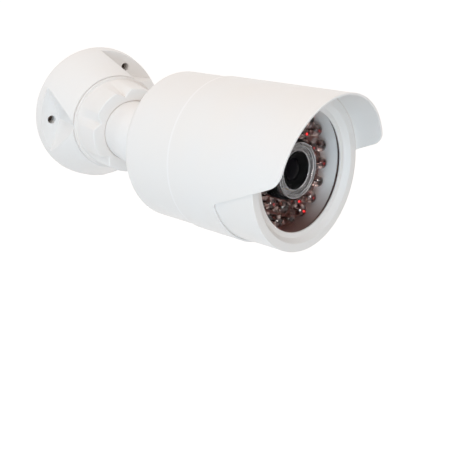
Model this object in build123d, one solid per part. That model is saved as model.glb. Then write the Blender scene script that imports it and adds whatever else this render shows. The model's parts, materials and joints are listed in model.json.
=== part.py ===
from build123d import *
import os
from math import cos, radians, sin

# Wall-mounted infrared bullet camera on a slotted-dome bracket.
# Millimetres. The wall is the plane Y = 0, the bracket stands out along -Y and +Z is up.
# Bracket stations are distances out from the wall. Camera stations are distances forward of the housing's back face.

# Clearances
RUN_GAP = 0.3           # between pieces that move past each other
SHAFT_GAP = 0.08        # radial, round the stem where the housing turns on it
THREAD_GAP = 0.05       # radial, between threads that are left plain
SEAT_GAP = 0.1          # between pieces that are fitted into each other

# Wall base
BASE_R = 32.8
RIM_R = 31.6
RIM_OUT = 6.2
RIM_ROUND = 0.8
SHOULDER_R = 22.9
SHOULDER_OUT = 22.2
BASE_WALL = 3.0
NECK_R = 17.0
NECK_LENGTH = 11.3
CABLE_BORE_R = 7.0
CABLE_BORE_DEPTH = 20.0
NECK_BORE_R = 6.0
HUB_WALL = 3.5
RECESS_ARC = 44.0

# Screw pockets of the base
POCKET_COUNT = 3
POCKET_PHASE = 55.0
POCKET_FLOOR = 4.8
POCKET_TIP_R = 22.0
POCKET_HALF_ANGLE = 70.0
SCREW_CIRCLE_R = 26.5
SCREW_HOLE_R = 2.0

# Locking collar
FLANGE_R = 22.4
FLANGE_THICKNESS = 1.5
COLLAR_BACK_R = 21.2
COLLAR_FRONT_R = 20.1
COLLAR_LENGTH = 17.9
COLLAR_FACE = 3.7
COLLAR_ROUND = 0.7
NOTCH_COUNT = 6
NOTCH_PHASE = 37.5
NOTCH_WIDTH = 7.8
NOTCH_DEPTH = 2.6

# Slotted dome, ball and stem
DOME_R = 14.2
DOME_WALL = 2.2
DOME_GAP = 0.3          # ring-shaped gap between the dome and the collar's hole
DOME_FLANGE_R = 16.5
DOME_REACH = 9.0        # from the collar's face to the centre of the ball
SEAT_DEPTH = 9.0
STEM_R = 5.75
STEM_BORE_R = 3.2
STEM_REACH = 25.3       # from the centre of the ball to the housing's back face
STEM_TAIL = 4.0         # thread that stands past the boss, under the clip

# Lock nut and clip on the stem
NUT_R = 9.7
NUT_FLANGE = 2.6
NUT_NECK_R = 7.6
NUT_LENGTH = 6.4
CLIP_R = 9.0
CLIP_THICKNESS = 2.4

# Housing, sunshield and bezel
SHIELD_WALL = 0.9
SHIELD_BACK = 27.9
SHIELD_RING_FRONT = 51.6
HOUSING_WALL = 2.8
HOUSING_STEP = 0.5      # shoulder that the shield butts against
HOUSING_BACK_WALL = 3.0
HOUSING_ROUND = 3.4
BOSS_R = 10.5
BOSS_LENGTH = 8.0
BEZEL_LAP = 2.0         # bezel edge hidden under the shield's ring
FRONT_SEAL = 1.2
SPIGOT_LENGTH = 7.0
SPIGOT_WALL = 1.75
BEZEL_FRONT = 72.7
BEZEL_ROUND = 0.8
LEDGE_WIDTH = 2.1
LEDGE_DEPTH = 2.3
MOUTH_FLARE = 1.8
REAR_SEAL = 1.2
REAR_SEAL_R = 9.2

# Visor edge, in side view, above the camera's axis
VISOR_TIP = 89.2
VISOR_CORNER = 85.6
VISOR_CORNER_HEIGHT = 6.2
VISOR_HEEL_HEIGHT = -7.8
VISOR_CORNER_ROUND = 8.0
VISOR_HEEL_ROUND = 3.0

# Window and the pieces behind it
WINDOW_LIP = 2.6
WINDOW_THICKNESS = 1.2
WINDOW_SETBACK = 3.1
GASKET = 1.0
SPACER_LENGTH = 8.2
SPACER_WALL = 1.6
LED_BOARD = 1.6
CLAMP_LENGTH = 4.0
CLAMP_WALL = 2.2

# Infrared lamps and light sensor
LED_R = 2.5
LED_BARREL = 3.2
OUTER_RING_INSET = 2.7  # from the window's visible edge to the outer lamps' centres
OUTER_RING_COUNT = 18
OUTER_RING_PHASE = 30.0
RING_STEP = 5.8         # from the outer lamps' centres to the inner ones
INNER_RING_COUNT = 12
INNER_RING_PHASE = 107.0  # the light sensor takes this place, the lamps the others
LIGHT_SENSOR_R = 2.2
LIGHT_SENSOR_HEIGHT = 2.0

# Lens
FOAM_GAP = 0.9          # between the foam ring and the inner lamps
FOAM_WALL = 1.0
FOAM_HEIGHT = 6.4
SHROUD_WALL = 3.6
SHROUD_RIM = 1.6        # width of the shroud's raised outer rim
SHROUD_STEP = 0.7       # drop from the rim to the shroud's inner ledge
LENS_HEAD_R = 7.3
LENS_SHOULDER = 1.3     # step from the lens's head down to its thread
LENS_HEAD_LENGTH = 15.5
LENS_SETBACK = 1.0      # from the window's back to the lens's front rim
LENS_RIM = 2.7
LENS_GLASS_BULGE = 1.4
LENS_GLASS_EDGE = 1.0
LENS_RIM_DEPTH = 1.8
LOCK_RING_WALL = 2.4
LOCK_RING = 2.4

# Sensor board stack
SENSOR_BOARD_SIDE = 32.0
SENSOR_BOARD = 1.6
SENSOR_SIDE = 7.6
SENSOR_THICKNESS = 1.5
FILTER_SIDE = 9.0
FILTER_THICKNESS = 0.6
FILTER_LIFT = 1.6
HOLDER_SIDE = 17.0
HOLDER_BASE = 4.6
HOLDER_WALL = 2.2
HOLDER_TUBE = 7.0
SPACER_SQUARE = 26.0
SPACER_POST_R = 2.5
SPACER_POST = 20.1
SCREW_HEAD_R = 2.4
SCREW_HEAD = 1.6
CHIP_SIDE = 10.0
CHIP_THICKNESS = 1.4
CABLE_SOCKET_WIDTH = 12.0
CABLE_SOCKET_DEPTH = 5.0
CABLE_SOCKET_HEIGHT = 4.2
LED_SOCKET_WIDTH = 6.0
SOCKET_INSET = 3.2      # from the board's edge to the middle of a socket
SOCKET_WALL = 0.8

# How the bracket stands in the photograph
REST_PAN = 9.0          # turn of the dome about the mount axis
REST_TILT = 14.3        # lean of the stem along the dome's slot

# Bracket stations
NECK_OUT = SHOULDER_OUT + NECK_LENGTH
COLLAR_BACK = SHOULDER_OUT + RUN_GAP
COLLAR_OUT = COLLAR_BACK + COLLAR_LENGTH
COLLAR_HOLE_R = DOME_R + DOME_GAP
DOME_BACK = NECK_OUT + RUN_GAP
DOME_FLANGE_OUT = COLLAR_OUT - COLLAR_FACE - RUN_GAP
PIVOT_OUT = COLLAR_OUT + DOME_REACH
CAVITY_R = DOME_R - DOME_WALL
BALL_R = CAVITY_R - RUN_GAP
SLOT_R = STEM_R + RUN_GAP

# Camera radii, from the lens outwards
LENS_GLASS_R = LENS_HEAD_R - LENS_RIM
LENS_THREAD_R = LENS_HEAD_R - LENS_SHOULDER
LOCK_RING_R = LENS_THREAD_R + LOCK_RING_WALL
HOLDER_TUBE_R = LENS_THREAD_R + HOLDER_WALL
SHROUD_BORE_R = LENS_HEAD_R + RUN_GAP
SHROUD_R = SHROUD_BORE_R + SHROUD_WALL
FOAM_BORE_R = SHROUD_R + SEAT_GAP
FOAM_R = FOAM_BORE_R + FOAM_WALL
INNER_RING_R = FOAM_R + FOAM_GAP + LED_R
OUTER_RING_R = INNER_RING_R + RING_STEP
WINDOW_SIGHT_R = OUTER_RING_R + OUTER_RING_INSET
WINDOW_R = WINDOW_SIGHT_R + WINDOW_LIP
LEDGE_R = WINDOW_SIGHT_R + LEDGE_WIDTH
MOUTH_R = LEDGE_R + MOUTH_FLARE
STACK_BORE_R = WINDOW_R + SEAT_GAP
SPIGOT_R = STACK_BORE_R + SPIGOT_WALL
HOUSING_BORE_R = SPIGOT_R + THREAD_GAP
SLEEVE_SEAT_R = HOUSING_BORE_R + HOUSING_WALL
HOUSING_R = SLEEVE_SEAT_R + HOUSING_STEP
SHIELD_BORE_R = SLEEVE_SEAT_R + SEAT_GAP
SHIELD_R = SHIELD_BORE_R + SHIELD_WALL

# Camera stations
BOSS_FRONT = HOUSING_BACK_WALL + BOSS_LENGTH
STEM_FRONT = BOSS_FRONT + STEM_TAIL
BEZEL_BACK = SHIELD_RING_FRONT - BEZEL_LAP
HOUSING_FRONT = BEZEL_BACK - FRONT_SEAL
WINDOW_FRONT = BEZEL_FRONT - WINDOW_SETBACK
WINDOW_BACK = WINDOW_FRONT - WINDOW_THICKNESS
SPACER_FRONT = WINDOW_BACK - GASKET
LED_BOARD_FRONT = SPACER_FRONT - SPACER_LENGTH
LED_BOARD_BACK = LED_BOARD_FRONT - LED_BOARD
CLAMP_BACK = LED_BOARD_BACK - CLAMP_LENGTH
SENSOR_BOARD_FRONT = LED_BOARD_BACK - SPACER_POST
SENSOR_BOARD_BACK = SENSOR_BOARD_FRONT - SENSOR_BOARD
HOLDER_FRONT = SENSOR_BOARD_FRONT + HOLDER_BASE + HOLDER_TUBE
LENS_FRONT = WINDOW_BACK - LENS_SETBACK
LENS_HEAD_BACK = LENS_FRONT - LENS_HEAD_LENGTH
LENS_BACK = SENSOR_BOARD_FRONT + HOLDER_BASE


def turned(corners, arc=360.0):
    """Solid of revolution about the axis from (radius, station) corners."""
    outline = Polyline(*[(radius, -station) for radius, station in corners], close=True)
    return revolve(make_face(outline), Axis.Y, arc)


def rod(radius, back, front):
    """Round bar on the axis."""
    return turned([(0, back), (radius, back), (radius, front), (0, front)])


def tube(inner, outer, back, front):
    """Round tube on the axis."""
    return turned([(inner, back), (outer, back), (outer, front), (inner, front)])


def ring_edges(solid, radius, station):
    """Round edges of one radius at one station."""
    circles = solid.edges().filter_by(GeomType.CIRCLE)
    return circles.filter_by(
        lambda e: abs(e.radius - radius) < SEAT_GAP and abs(e.arc_center.Y + station) < SEAT_GAP
    )


def around(count, phase, shape):
    """Copies of a shape turned about the axis, counted from +X towards +Z."""
    return [Rot(0, -(phase + step * 360.0 / count), 0) * shape for step in range(count)]


def board_plate(side, back, front):
    """Square plate across the axis."""
    return Pos(0, -back, 0) * Box(side, front - back, side, align=(Align.CENTER, Align.MAX, Align.CENTER))


def wall_base():
    body = turned([
        (0, 0),
        (BASE_R, 0),
        (RIM_R, RIM_OUT),
        (SHOULDER_R, SHOULDER_OUT),
        (NECK_R, SHOULDER_OUT),
        (NECK_R, NECK_OUT),
        (0, NECK_OUT),
    ])
    body = fillet(ring_edges(body, RIM_R, RIM_OUT), RIM_ROUND)
    reach = 2 * BASE_R
    across = radians(POCKET_HALF_ANGLE)
    corners = [
        (POCKET_TIP_R, 0),
        (POCKET_TIP_R + reach * cos(across), reach * sin(across)),
        (POCKET_TIP_R + reach * cos(across), -reach * sin(across)),
    ]
    notch = make_face(Plane.XZ * Polyline(*corners, close=True))
    pocket = extrude(Pos(0, -POCKET_FLOOR, 0) * notch, amount=SHOULDER_OUT - POCKET_FLOOR, dir=(0, -1, 0))
    body -= around(POCKET_COUNT, POCKET_PHASE, pocket)
    screw_hole = Pos(SCREW_CIRCLE_R, 0, 0) * rod(SCREW_HOLE_R, 0, POCKET_FLOOR)
    body -= around(POCKET_COUNT, POCKET_PHASE, screw_hole)
    hub_r = CABLE_BORE_R + HUB_WALL
    recess = turned([
        (hub_r, 0),
        (BASE_R - BASE_WALL, 0),
        (RIM_R - BASE_WALL, RIM_OUT - BASE_WALL),
        (SHOULDER_R - BASE_WALL, SHOULDER_OUT - BASE_WALL),
        (hub_r, SHOULDER_OUT - BASE_WALL),
    ], RECESS_ARC)
    recess_phase = POCKET_PHASE + (360.0 / POCKET_COUNT + RECESS_ARC) / 2
    body -= around(POCKET_COUNT, recess_phase, recess)
    body -= rod(CABLE_BORE_R, 0, CABLE_BORE_DEPTH)
    return body - rod(NECK_BORE_R, CABLE_BORE_DEPTH, NECK_OUT)


def locking_collar():
    lip_out = COLLAR_BACK + FLANGE_THICKNESS
    bore_r = NECK_R + RUN_GAP
    collar = turned([
        (bore_r, COLLAR_BACK),
        (FLANGE_R, COLLAR_BACK),
        (FLANGE_R, lip_out),
        (COLLAR_BACK_R, lip_out),
        (COLLAR_FRONT_R, COLLAR_OUT),
        (COLLAR_HOLE_R, COLLAR_OUT),
        (COLLAR_HOLE_R, COLLAR_OUT - COLLAR_FACE),
        (bore_r, COLLAR_OUT - COLLAR_FACE),
    ])
    collar = fillet(ring_edges(collar, COLLAR_FRONT_R, COLLAR_OUT), COLLAR_ROUND)
    wedge = Polyline(
        (COLLAR_BACK_R, -lip_out),
        (FLANGE_R, -lip_out),
        (FLANGE_R, -COLLAR_OUT),
        (COLLAR_FRONT_R - NOTCH_DEPTH, -COLLAR_OUT),
        close=True,
    )
    notch = extrude(make_face(wedge), amount=NOTCH_WIDTH / 2, both=True)
    return collar - around(NOTCH_COUNT, NOTCH_PHASE, notch)


def socket_dome():
    outline = Polyline(
        (CAVITY_R, -DOME_BACK),
        (DOME_FLANGE_R, -DOME_BACK),
        (DOME_FLANGE_R, -DOME_FLANGE_OUT),
        (DOME_R, -DOME_FLANGE_OUT),
        (DOME_R, -PIVOT_OUT),
    )
    outline += CenterArc((0, -PIVOT_OUT), DOME_R, 0, -90)
    outline += Line((0, -PIVOT_OUT - DOME_R), (0, -PIVOT_OUT - CAVITY_R))
    outline += CenterArc((0, -PIVOT_OUT), CAVITY_R, -90, 90)
    outline += Line((CAVITY_R, -PIVOT_OUT), (CAVITY_R, -DOME_BACK))
    dome = revolve(make_face(outline), Axis.Y)
    reach = 2 * DOME_R
    slot = Box(reach, reach, 2 * SLOT_R, align=(Align.MIN, Align.MAX, Align.CENTER))
    slot += Rot(90, 0, 0) * Cylinder(SLOT_R, reach, align=(Align.CENTER, Align.CENTER, Align.MIN))
    slot += Rot(0, 90, 0) * Cylinder(SLOT_R, reach, align=(Align.CENTER, Align.CENTER, Align.MIN))
    return dome - Pos(0, -PIVOT_OUT, 0) * slot


def ball_seat():
    seat = tube(NECK_BORE_R, CAVITY_R - SEAT_GAP, DOME_BACK, DOME_BACK + SEAT_DEPTH)
    return seat - Pos(0, -PIVOT_OUT, 0) * Sphere(BALL_R + RUN_GAP)


def ball_stem():
    """Ball and hollow stem, from the centre of the ball."""
    stem = Sphere(BALL_R) + rod(STEM_R, 0, STEM_REACH + STEM_FRONT)
    return stem - rod(STEM_BORE_R, -BALL_R, STEM_REACH + STEM_FRONT)


def lock_nut():
    """Flanged nut with a flared neck, behind the housing's back face."""
    front = -REAR_SEAL - RUN_GAP
    back = front - NUT_LENGTH
    bore_r = STEM_R + THREAD_GAP
    flare_r = (NUT_NECK_R + NUT_R) / 2
    return turned([
        (bore_r, back),
        (NUT_NECK_R, back),
        (NUT_NECK_R, (back + front - NUT_FLANGE) / 2),
        (flare_r, front - NUT_FLANGE),
        (NUT_R, front - NUT_FLANGE),
        (NUT_R, front),
        (bore_r, front),
    ])


def stem_clip():
    back = BOSS_FRONT + RUN_GAP
    return tube(STEM_R + THREAD_GAP, CLIP_R, back, back + CLIP_THICKNESS)


def rear_housing():
    hole_r = STEM_R + SHAFT_GAP
    outline = Polyline((hole_r, 0), (HOUSING_R - HOUSING_ROUND, 0))
    outline += CenterArc((HOUSING_R - HOUSING_ROUND, -HOUSING_ROUND), HOUSING_ROUND, 90, -90)
    outline += Polyline(
        (HOUSING_R, -HOUSING_ROUND),
        (HOUSING_R, -SHIELD_BACK + SEAT_GAP),
        (SLEEVE_SEAT_R, -SHIELD_BACK + SEAT_GAP),
        (SLEEVE_SEAT_R, -HOUSING_FRONT),
        (HOUSING_BORE_R, -HOUSING_FRONT),
        (HOUSING_BORE_R, -HOUSING_BACK_WALL),
        (BOSS_R, -HOUSING_BACK_WALL),
        (BOSS_R, -BOSS_FRONT),
        (hole_r, -BOSS_FRONT),
        (hole_r, 0),
    )
    return revolve(make_face(outline), Axis.Y)


def rear_seal():
    return tube(STEM_R + RUN_GAP, REAR_SEAL_R, -REAR_SEAL, 0)


def sunshield():
    """Slip-on ring whose upper half runs forward as a visor."""
    sleeve = tube(SHIELD_BORE_R, SHIELD_R, SHIELD_BACK, VISOR_TIP)
    below = -2 * SHIELD_R
    beyond = VISOR_TIP + SHIELD_WALL
    side = Polyline(
        (SHIELD_RING_FRONT, below),
        (SHIELD_RING_FRONT, VISOR_HEEL_HEIGHT),
        (VISOR_CORNER, VISOR_CORNER_HEIGHT),
        (VISOR_TIP, SHIELD_R),
        (beyond, SHIELD_R),
        (beyond, below),
        close=True,
    )
    cut = make_face(side)
    heel = cut.vertices().sort_by_distance((SHIELD_RING_FRONT, VISOR_HEEL_HEIGHT))[0]
    cut = fillet(heel, VISOR_HEEL_ROUND)
    corner = cut.vertices().sort_by_distance((VISOR_CORNER, VISOR_CORNER_HEIGHT))[0]
    cut = fillet(corner, VISOR_CORNER_ROUND)
    side_view = Plane(origin=(0, 0, 0), x_dir=(0, -1, 0), z_dir=(-1, 0, 0))
    return sleeve - extrude(side_view * cut, amount=2 * SHIELD_R, both=True)


def front_bezel():
    ledge = BEZEL_FRONT - LEDGE_DEPTH
    bezel = turned([
        (STACK_BORE_R, BEZEL_BACK - SPIGOT_LENGTH),
        (SPIGOT_R, BEZEL_BACK - SPIGOT_LENGTH),
        (SPIGOT_R, BEZEL_BACK),
        (SLEEVE_SEAT_R, BEZEL_BACK),
        (SLEEVE_SEAT_R, BEZEL_FRONT),
        (MOUTH_R, BEZEL_FRONT),
        (LEDGE_R, ledge),
        (WINDOW_SIGHT_R, ledge),
        (WINDOW_SIGHT_R, WINDOW_FRONT),
        (STACK_BORE_R, WINDOW_FRONT),
    ])
    return fillet(ring_edges(bezel, SLEEVE_SEAT_R, BEZEL_FRONT), BEZEL_ROUND)


def front_seal():
    return tube(SPIGOT_R + SEAT_GAP, SLEEVE_SEAT_R - SEAT_GAP, HOUSING_FRONT, BEZEL_BACK)


def window():
    return rod(WINDOW_R, WINDOW_BACK, WINDOW_FRONT)


def window_gasket():
    return tube(WINDOW_SIGHT_R, WINDOW_R, SPACER_FRONT, WINDOW_BACK)


def spacer_ring():
    return tube(WINDOW_R - SPACER_WALL, WINDOW_R, LED_BOARD_FRONT, SPACER_FRONT)


def led_board():
    return tube(FOAM_BORE_R, WINDOW_R, LED_BOARD_BACK, LED_BOARD_FRONT)


def clamp_ring():
    return tube(WINDOW_R - CLAMP_WALL, WINDOW_R, CLAMP_BACK, LED_BOARD_BACK)


def infrared_lamp(ring_r):
    """Round-nosed lamp standing on the front of the lamp board."""
    nose = LED_BOARD_FRONT + LED_BARREL
    outline = Polyline((0, -LED_BOARD_FRONT), (LED_R, -LED_BOARD_FRONT), (LED_R, -nose))
    outline += CenterArc((0, -nose), LED_R, 0, -90)
    outline += Line((0, -nose - LED_R), (0, -LED_BOARD_FRONT))
    return Pos(ring_r, 0, 0) * revolve(make_face(outline), Axis.Y)


def outer_lamps():
    return around(OUTER_RING_COUNT, OUTER_RING_PHASE, infrared_lamp(OUTER_RING_R))


def inner_lamps():
    return around(INNER_RING_COUNT, INNER_RING_PHASE, infrared_lamp(INNER_RING_R))[1:]


def light_sensor():
    disc = rod(LIGHT_SENSOR_R, LED_BOARD_FRONT, LED_BOARD_FRONT + LIGHT_SENSOR_HEIGHT)
    return around(INNER_RING_COUNT, INNER_RING_PHASE, Pos(INNER_RING_R, 0, 0) * disc)[0]


def lens_shroud():
    """Clear tube from the lamp board to the window, with a stepped front rim."""
    front = WINDOW_BACK - RUN_GAP
    return turned([
        (SHROUD_BORE_R, LED_BOARD_BACK),
        (SHROUD_R, LED_BOARD_BACK),
        (SHROUD_R, front),
        (SHROUD_R - SHROUD_RIM, front),
        (SHROUD_R - SHROUD_RIM, front - SHROUD_STEP),
        (SHROUD_BORE_R, front - SHROUD_STEP),
    ])


def lens_foam():
    """Black foam ring that keeps lamp light out of the lens."""
    return tube(FOAM_BORE_R, FOAM_R, LED_BOARD_FRONT, LED_BOARD_FRONT + FOAM_HEIGHT)


def lens_barrel():
    """Threaded barrel whose wide head fills the shroud, with a mouth for the front glass."""
    mouth = LENS_FRONT - LENS_RIM_DEPTH
    return turned([
        (0, LENS_BACK),
        (LENS_THREAD_R, LENS_BACK),
        (LENS_THREAD_R, LENS_HEAD_BACK),
        (LENS_HEAD_R, LENS_HEAD_BACK),
        (LENS_HEAD_R, LENS_FRONT),
        (LENS_HEAD_R - THREAD_GAP - SEAT_GAP, LENS_FRONT),
        (LENS_GLASS_R + SEAT_GAP, mouth),
        (LENS_GLASS_R + SEAT_GAP, mouth - LENS_GLASS_EDGE),
        (0, mouth - LENS_GLASS_EDGE),
    ])


def front_lens():
    """Domed front glass, whose ball radius follows from its width and bulge."""
    edge = LENS_FRONT - LENS_RIM_DEPTH
    back = edge - LENS_GLASS_EDGE
    tip = edge + LENS_GLASS_BULGE
    ball_r = (LENS_GLASS_R**2 + LENS_GLASS_BULGE**2) / (2 * LENS_GLASS_BULGE)
    outline = Polyline((0, -tip), (0, -back), (LENS_GLASS_R, -back), (LENS_GLASS_R, -edge))
    outline += RadiusArc((LENS_GLASS_R, -edge), (0, -tip), ball_r)
    return revolve(make_face(outline), Axis.Y)


def lens_lock_ring():
    return tube(LENS_THREAD_R + THREAD_GAP, LOCK_RING_R, HOLDER_FRONT, HOLDER_FRONT + LOCK_RING)


def lens_holder():
    holder = board_plate(HOLDER_SIDE, SENSOR_BOARD_FRONT, LENS_BACK)
    holder += rod(HOLDER_TUBE_R, LENS_BACK, HOLDER_FRONT)
    holder -= rod(LENS_THREAD_R + THREAD_GAP, LENS_BACK, HOLDER_FRONT)
    well = FILTER_SIDE + 2 * SEAT_GAP
    return holder - board_plate(well, SENSOR_BOARD_FRONT, LENS_BACK)


def image_sensor():
    return board_plate(SENSOR_SIDE, SENSOR_BOARD_FRONT, SENSOR_BOARD_FRONT + SENSOR_THICKNESS)


def infrared_filter():
    back = SENSOR_BOARD_FRONT + SENSOR_THICKNESS + FILTER_LIFT
    return board_plate(FILTER_SIDE, back, back + FILTER_THICKNESS)


def sensor_board():
    return board_plate(SENSOR_BOARD_SIDE, SENSOR_BOARD_BACK, SENSOR_BOARD_FRONT)


def processor_chip():
    return board_plate(CHIP_SIDE, SENSOR_BOARD_BACK - CHIP_THICKNESS, SENSOR_BOARD_BACK)


def board_socket(width, height_above_axis):
    """Open plug socket on the back of the sensor board."""
    socket = Box(width, CABLE_SOCKET_DEPTH, CABLE_SOCKET_HEIGHT, align=(Align.CENTER, Align.MIN, Align.CENTER))
    hollow = Box(
        width - 2 * SOCKET_WALL,
        CABLE_SOCKET_DEPTH - SOCKET_WALL,
        CABLE_SOCKET_HEIGHT - 2 * SOCKET_WALL,
        align=(Align.CENTER, Align.MIN, Align.CENTER),
    )
    socket -= Pos(0, SOCKET_WALL, 0) * hollow
    return Pos(0, -SENSOR_BOARD_BACK, height_above_axis) * socket


def cable_socket():
    return board_socket(CABLE_SOCKET_WIDTH, SOCKET_INSET - SENSOR_BOARD_SIDE / 2)


def lamp_socket():
    return board_socket(LED_SOCKET_WIDTH, SENSOR_BOARD_SIDE / 2 - SOCKET_INSET)


def at_board_corners(shape):
    """Copies of a shape at the sensor board's four fixing points."""
    half = SPACER_SQUARE / 2
    places = [(x, z) for x in (-half, half) for z in (-half, half)]
    return [Pos(x, 0, z) * shape for x, z in places]


def board_spacers():
    return at_board_corners(rod(SPACER_POST_R, SENSOR_BOARD_FRONT, LED_BOARD_BACK))


def board_screws():
    return at_board_corners(rod(SCREW_HEAD_R, SENSOR_BOARD_BACK - SCREW_HEAD, SENSOR_BOARD_BACK))


PAN = Rot(0, -REST_PAN, 0)
LEAN = Pos(0, -PIVOT_OUT, 0) * PAN * Rot(0, 0, REST_TILT) * Rot(0, REST_PAN, 0)
CAMERA = LEAN * Pos(0, -STEM_REACH, 0)

PIECES = [
    (Pos(0, 0, 0), [wall_base, locking_collar]),
    (PAN, [socket_dome, ball_seat]),
    (LEAN, [ball_stem]),
    (CAMERA, [lock_nut, stem_clip]),
    (CAMERA, [rear_housing, rear_seal, sunshield, front_bezel, front_seal]),
    (CAMERA, [window, window_gasket, spacer_ring, led_board, clamp_ring]),
    (CAMERA, [outer_lamps, inner_lamps, light_sensor]),
    (CAMERA, [lens_shroud, lens_foam, lens_barrel, front_lens, lens_lock_ring, lens_holder]),
    (CAMERA, [infrared_filter, image_sensor, sensor_board, processor_chip]),
    (CAMERA, [cable_socket, lamp_socket, board_spacers, board_screws]),
]


def write_piece(name, made, place):
    """One file for each piece, with like pieces together in one."""
    solids = made if isinstance(made, list) else [made]
    placed = [place * solid for solid in solids]
    export_step(placed[0] if len(placed) == 1 else Compound(children=placed), f"parts/{name}.step")


os.makedirs("parts", exist_ok=True)
for place, makers in PIECES:
    for maker in makers:
        write_piece(maker.__name__, maker(), place)
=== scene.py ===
import json
from math import asin, atan2, cos, degrees, hypot, pi, radians, sin, sqrt, tan

import bpy
from bpy.props import FloatProperty, FloatVectorProperty, IntProperty, PointerProperty
from bpy.types import NodeSocket, Operator, Panel, PropertyGroup
from mathutils import Matrix, Vector


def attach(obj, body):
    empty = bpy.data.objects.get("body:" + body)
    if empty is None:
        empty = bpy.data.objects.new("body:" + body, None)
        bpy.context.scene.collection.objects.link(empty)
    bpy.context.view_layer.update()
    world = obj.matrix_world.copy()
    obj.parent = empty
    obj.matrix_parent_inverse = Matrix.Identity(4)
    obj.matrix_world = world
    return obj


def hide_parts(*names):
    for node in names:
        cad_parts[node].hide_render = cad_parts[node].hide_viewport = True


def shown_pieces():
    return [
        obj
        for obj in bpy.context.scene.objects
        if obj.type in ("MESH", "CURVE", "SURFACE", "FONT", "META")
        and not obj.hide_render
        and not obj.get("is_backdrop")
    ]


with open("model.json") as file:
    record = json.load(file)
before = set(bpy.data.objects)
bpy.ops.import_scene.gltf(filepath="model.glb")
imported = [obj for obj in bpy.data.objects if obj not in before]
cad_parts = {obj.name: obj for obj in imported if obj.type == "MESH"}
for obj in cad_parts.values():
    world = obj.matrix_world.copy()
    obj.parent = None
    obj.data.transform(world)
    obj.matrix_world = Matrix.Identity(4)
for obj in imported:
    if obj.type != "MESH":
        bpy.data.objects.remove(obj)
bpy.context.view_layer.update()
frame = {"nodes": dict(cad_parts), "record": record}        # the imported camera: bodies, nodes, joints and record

bl_info = {
    "name": "Bullet camera dresser",
    "version": (1, 0, 0),
    "blender": (4, 5, 0),
    "location": "View3D > Sidebar > Bullet camera",
    "description": "Models and finishes a wall-mounted infrared bullet camera around its packed solids",
    "category": "Object",
}

MM = 0.001
ROUND = 160              # segments of a large turned piece
COLLAR_ROUND = 360       # segments of the collar, fine enough for its notches
DOME_ROUND = 112         # segments of the dome
MIDDLE_ROUND = 96        # segments of the stem, the nut and the shroud
LENS_ROUND = 64          # segments of the lens
LAMP_ROUND = 28          # segments of one infrared lamp
FITTED = 0.1 * MM        # gap between pieces that are fitted into each other
NEAR = 0.01 * MM         # places closer than this count as one
FINE = 0.001 * MM        # step by which points are sorted into rows


def amount(label, value, about, **kind):
    """A number that a user may change."""
    return FloatProperty(name=label, description=about, default=value, **kind)


def length(label, millimetres, about):
    """A length that a user may change, written in millimetres."""
    return amount(label, millimetres * MM, about, unit="LENGTH", precision=5)


def turn(label, angle, about):
    """An angle that a user may change, written in degrees."""
    return amount(label, radians(angle), about, subtype="ANGLE")


def colour(label, rgb, about):
    """A colour that a user may change, in linear light."""
    return FloatVectorProperty(
        name=label, description=about, default=rgb, size=3, min=0.0, max=1.0, subtype="COLOR"
    )


class BracketSizes(PropertyGroup):
    """Sizes of the wall base, collar, dome, stem and nut."""

    rim_r: length("Rim radius", 31.6, "Radius of the base where its side turns into the cone")
    rim_out: length("Rim height", 6.2, "Height of the base's side above the wall")
    shoulder_r: length("Shoulder radius", 22.9, "Radius of the cone under the collar")
    shoulder_out: length("Shoulder height", 22.2, "Height of the cone's top above the wall")
    base_wall: length("Base wall", 3.0, "Wall left over the hollows in the base's back")
    base_edge: length("Base edge", 0.7, "Rounding of the base's edges")
    neck_r: length("Neck radius", 17.0, "Radius of the neck that carries the collar")
    cable_bore_r: length("Cable bore radius", 7.0, "Radius of the cable hole at the wall")
    cable_bore_depth: length("Cable bore depth", 20.0, "Depth of the wide end of the cable hole")
    neck_bore_r: length("Neck bore radius", 6.0, "Radius of the cable hole in the neck")
    hub_wall: length("Hub wall", 3.5, "Wall round the cable hole")
    recess_arc: turn("Hollow arc", 44.0, "Width of each hollow in the base's back")
    pocket_phase: turn("Pocket phase", 55.0, "Turn of the first screw pocket from +X")
    pocket_floor: length("Pocket floor", 4.8, "Height of a screw pocket's floor above the wall")
    pocket_tip_r: length("Pocket tip radius", 22.0, "Distance of a pocket's inner corner from the axis")
    pocket_half: turn("Pocket half angle", 70.0, "Half the angle between a pocket's two walls")
    screw_circle_r: length("Screw circle radius", 26.5, "Distance of the screw holes from the axis")
    screw_hole_r: length("Screw hole radius", 2.0, "Radius of a screw hole")
    lip: length("Collar lip", 1.5, "Thickness of the collar's lip")
    collar_back_r: length("Collar back radius", 21.2, "Radius of the collar in front of its lip")
    collar_front_r: length("Collar front radius", 20.1, "Radius of the collar at its front")
    collar_face: length("Collar face", 3.7, "Thickness of the collar's front wall")
    collar_edge: length("Collar edge", 0.7, "Rounding of the collar's front edge")
    collar_gap: length("Collar gap", 0.3, "Gap between the collar and the neck")
    notch_phase: turn("Notch phase", 37.5, "Turn of the first grip notch from +X")
    notch_width: length("Notch width", 7.8, "Width of a grip notch")
    notch_depth: length("Notch depth", 3.4, "Depth of a grip notch at the collar's front")
    dome_r: length("Dome radius", 14.2, "Outer radius of the dome")
    dome_wall: length("Dome wall", 2.2, "Wall of the dome")
    dome_gap: length("Dome gap", 0.08, "Gap between the dome and the collar's hole")
    ball_gap: length("Ball gap", 0.3, "Gap between the ball and the dome")
    stem_r: length("Stem radius", 5.75, "Outer radius of the stem")
    stem_bore_r: length("Stem bore radius", 3.2, "Radius of the cable hole in the stem")
    nut_flange: length("Nut flange", 2.6, "Thickness of the lock nut's flange")
    nut_neck_r: length("Nut neck radius", 7.6, "Radius of the lock nut's neck")


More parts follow.
